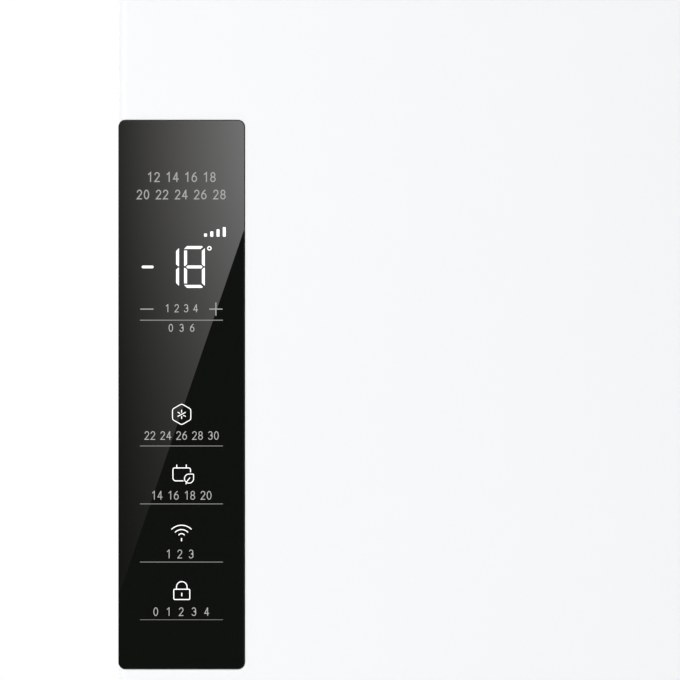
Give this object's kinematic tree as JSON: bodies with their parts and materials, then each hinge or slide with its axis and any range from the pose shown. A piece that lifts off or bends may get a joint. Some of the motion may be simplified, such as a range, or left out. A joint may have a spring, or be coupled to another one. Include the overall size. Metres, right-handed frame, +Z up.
{
  "type": "upright freezer",
  "caption": "Free-standing upright freezer with a flush touch display on the door's free edge, drawers and flap compartments.",
  "frame": {"origin": "centre of the bounding box's bottom, on the floor", "axes": "+Z up; -Y towards the front, where the door and its display are; +X to the hinge side"},
  "size_m": [0.595, 0.655, 1.655],
  "materials": {
    "white_paint": "gloss",
    "white_trim": "satin",
    "liner_plastic": "satin",
    "foam": "matte",
    "zinc_sheet": "satin",
    "steel_pin": "satin",
    "screw_steel": "satin",
    "black_shell": "satin",
    "black_rubber": "matte",
    "dark_plastic": "matte",
    "copper": "satin",
    "grey_plastic": "matte",
    "tube_steel": "satin",
    "fin_aluminium": "satin",
    "heater_tube": "satin",
    "lamp_diffuser": "matte",
    "shelf_glass": "gloss",
    "gasket_vinyl": "matte",
    "bush_plastic": "satin",
    "display_glass": "polished",
    "housing_plastic": "matte",
    "circuit_board": "satin",
    "fan_plastic": "satin",
    "clear_bin": "gloss"
  },
  "bodies": {
    "cabinet": {"cabinet_wrap": "white_paint", "foam_core": "foam", "inner_liner": "liner_plastic", "back_panel": "zinc_sheet", "base_pan": "zinc_sheet", "front_rail": "zinc_sheet", "kick_plate": "white_trim", "machine_tray": "zinc_sheet", "machine_cover": "zinc_sheet", "cable_gland": "black_rubber", "upper_hinge_bracket": "zinc_sheet", "lower_hinge_bracket": "zinc_sheet", "hinge_pins": "steel_pin", "hinge_cover": "white_trim", "case_screws": "screw_steel", "compressor": "black_shell", "compressor_mounts": "black_rubber", "starter_box": "dark_plastic", "refrigerant_tubes": "copper", "filter_drier": "copper", "condensate_pan": "liner_plastic", "drain_tube": "grey_plastic", "condenser_loops": "tube_steel", "evaporator": "fin_aluminium", "defrost_heater": "heater_tube", "drip_tray": "liner_plastic", "duct_cover": "liner_plastic", "fan_motor": "dark_plastic", "lamp_lens": "lamp_diffuser", "flap_hinges": "liner_plastic", "shelf_1": "shelf_glass", "shelf_2": "shelf_glass", "shelf_3": "shelf_glass", "shelf_4": "shelf_glass", "shelf_5": "shelf_glass", "shelf_6": "shelf_glass", "shelf_trims": "white_trim"},
    "door": {"door_skin": "white_paint", "door_foam": "foam", "door_liner": "liner_plastic", "door_gasket": "gasket_vinyl", "door_cap_top": "white_trim", "door_cap_bottom": "white_trim", "hinge_bushes": "bush_plastic", "grip_cup": "grey_plastic", "panel_glass": "display_glass", "panel_housing": "housing_plastic", "panel_board": "circuit_board"},
    "fan": {"fan_blade": "fan_plastic"},
    "left_foot": {"foot_left": "dark_plastic"},
    "right_foot": {"foot_right": "dark_plastic"},
    "left_roller": {"roller_left": "dark_plastic"},
    "right_roller": {"roller_right": "dark_plastic"},
    "drawer_body_1": {"drawer_1": "clear_bin"},
    "drawer_body_2": {"drawer_2": "clear_bin"},
    "drawer_body_3": {"drawer_3": "clear_bin"},
    "drawer_body_4": {"drawer_4": "clear_bin"},
    "drawer_body_5": {"drawer_5": "clear_bin"},
    "flap_body_1": {"flap_1": "clear_bin"},
    "flap_body_2": {"flap_2": "clear_bin"}
  },
  "joints": [
    {"name": "door_hinge", "type": "hinge", "parent": "cabinet", "child": "door", "pos_m": [0.2855, -0.291, 0.8485], "axis": [0, 0, 1], "range_deg": [0, 120]},
    {"name": "drawer_1_slide", "type": "slide", "parent": "cabinet", "child": "drawer_body_1", "axis": [0, -1, 0], "range_m": [0, 0.2]},
    {"name": "drawer_2_slide", "type": "slide", "parent": "cabinet", "child": "drawer_body_2", "axis": [0, -1, 0], "range_m": [0, 0.3]},
    {"name": "drawer_3_slide", "type": "slide", "parent": "cabinet", "child": "drawer_body_3", "axis": [0, -1, 0], "range_m": [0, 0.3]},
    {"name": "drawer_4_slide", "type": "slide", "parent": "cabinet", "child": "drawer_body_4", "axis": [0, -1, 0], "range_m": [0, 0.3]},
    {"name": "drawer_5_slide", "type": "slide", "parent": "cabinet", "child": "drawer_body_5", "axis": [0, -1, 0], "range_m": [0, 0.3]},
    {"name": "flap_1_hinge", "type": "hinge", "parent": "cabinet", "child": "flap_body_1", "pos_m": [0, -0.2225, 1.35], "axis": [-1, 0, 0], "range_deg": [0, 85]},
    {"name": "flap_2_hinge", "type": "hinge", "parent": "cabinet", "child": "flap_body_2", "pos_m": [0, -0.2225, 1.563], "axis": [-1, 0, 0], "range_deg": [0, 85]},
    {"name": "fan_spin", "type": "hinge", "parent": "cabinet", "child": "fan", "pos_m": [0, 0.2035, 1.25783], "axis": [0, -1, 0], "continuous": true},
    {"name": "foot_left_height", "type": "slide", "parent": "cabinet", "child": "left_foot", "axis": [0, 0, -1], "range_m": [-0.006, 0.012]},
    {"name": "foot_right_height", "type": "slide", "parent": "cabinet", "child": "right_foot", "axis": [0, 0, -1], "range_m": [-0.006, 0.012]},
    {"name": "roller_left_spin", "type": "hinge", "parent": "cabinet", "child": "left_roller", "pos_m": [-0.2525, 0.2825, 0.013], "axis": [1, 0, 0], "continuous": true},
    {"name": "roller_right_spin", "type": "hinge", "parent": "cabinet", "child": "right_roller", "pos_m": [0.2525, 0.2825, 0.013], "axis": [1, 0, 0], "continuous": true}
  ],
  "couplings": [
    {"joint": "drawer_1_slide", "follows": "door_hinge", "m_per_rad": 0.075},
    {"joint": "drawer_2_slide", "follows": "door_hinge", "m_per_rad": 0.066},
    {"joint": "drawer_3_slide", "follows": "door_hinge", "m_per_rad": 0.057},
    {"joint": "drawer_4_slide", "follows": "door_hinge", "m_per_rad": 0.048},
    {"joint": "drawer_5_slide", "follows": "door_hinge", "m_per_rad": 0.039},
    {"joint": "flap_1_hinge", "follows": "door_hinge", "ratio": 0.4},
    {"joint": "flap_2_hinge", "follows": "door_hinge", "ratio": 0.4}
  ]
}
